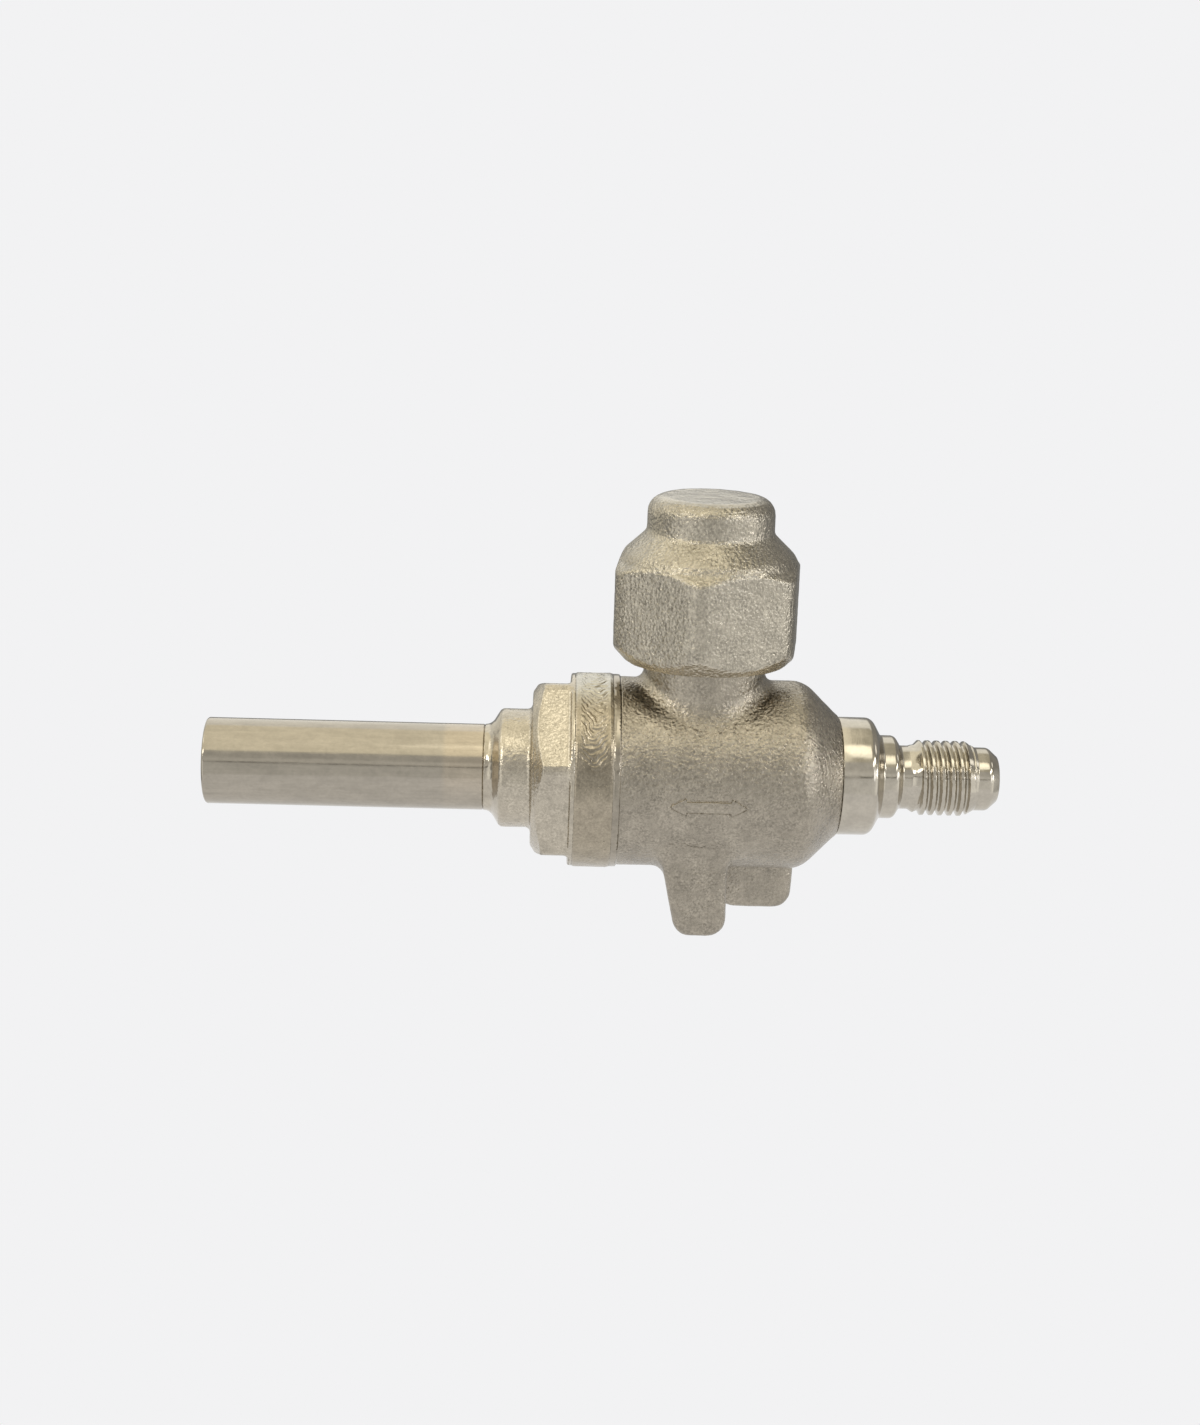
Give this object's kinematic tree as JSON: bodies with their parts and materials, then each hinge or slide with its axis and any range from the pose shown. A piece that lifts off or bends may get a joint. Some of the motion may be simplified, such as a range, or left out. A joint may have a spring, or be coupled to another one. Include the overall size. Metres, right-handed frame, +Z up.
{
  "type": "refrigerant service valve",
  "caption": "Stainless ball service valve: butt-weld tube stub, hexagon end adapter, cast body with bonnet and feet, hexagon seal cap over a quarter-turn stem, threaded service port.",
  "frame": {"origin": "centre of the two mounting feet's tapped holes, on the plane of the feet", "axes": "+X along the flow axis from the weld tube to the threaded service port, +Y away from the side that carries the flow arrow, +Z up the stem to the cap. The flow axis is 24 mm over the feet, and the stem axis is at X -5.6 mm"},
  "size_m": [0.1258, 0.031, 0.0685],
  "materials": {
    "cast_stainless": "investment cast, tumbled, fine satin grain",
    "weld_metal": "rippled weld bead, straw heat tint",
    "drawn_stainless": "drawn and pickled, semi-bright",
    "turned_stainless": "fine turned, bright",
    "polished_stainless": "lapped mirror",
    "spring_steel": "phosphated dark",
    "seat_plastic": "moulded fluoropolymer, waxy white",
    "seal_nylon": "natural polyamide",
    "black_rubber": "matte black"
  },
  "bodies": {
    "housing": {"valve_body": "cast_stainless", "end_adapter": "cast_stainless", "closing_weld": "weld_metal", "tube_stub": "drawn_stainless", "service_port": "turned_stainless", "seat_left": "seat_plastic", "seat_right": "seat_plastic", "seat_oring_left": "black_rubber", "seat_oring_right": "black_rubber", "thrust_washer": "seat_plastic", "packing_ring": "seat_plastic", "gland_nut": "turned_stainless", "stop_pin": "turned_stainless"},
    "spindle": {"stem": "turned_stainless", "stem_oring_lower": "black_rubber", "stem_oring_upper": "black_rubber", "stop_plate": "turned_stainless", "retaining_ring": "spring_steel"},
    "plug_ball": {"ball": "polished_stainless"},
    "seal_ring": {"cap_seal": "seal_nylon"},
    "seal_cap": {"cap": "cast_stainless"}
  },
  "joints": [
    {"name": "stem_turn", "type": "hinge", "parent": "housing", "child": "spindle", "pos_m": [-0.0056, 0, 0.024], "axis": [0, 0, 1], "range_deg": [0, 90]},
    {"name": "ball_turn", "type": "hinge", "parent": "housing", "child": "plug_ball", "pos_m": [-0.0056, 0, 0.024], "axis": [0, 0, 1], "range_deg": [0, 90]},
    {"name": "cap_rise", "type": "slide", "parent": "housing", "child": "seal_ring", "axis": [0, 0, 1], "range_m": [0, 0.0075]},
    {"name": "cap_unscrew", "type": "hinge", "parent": "seal_ring", "child": "seal_cap", "pos_m": [-0.0056, 0, 0.024], "axis": [0, 0, 1], "range_deg": [0, 1800]}
  ],
  "couplings": [
    {"joint": "ball_turn", "follows": "stem_turn", "ratio": 1},
    {"joint": "cap_unscrew", "follows": "cap_rise", "rad_per_m": 4188.8}
  ]
}
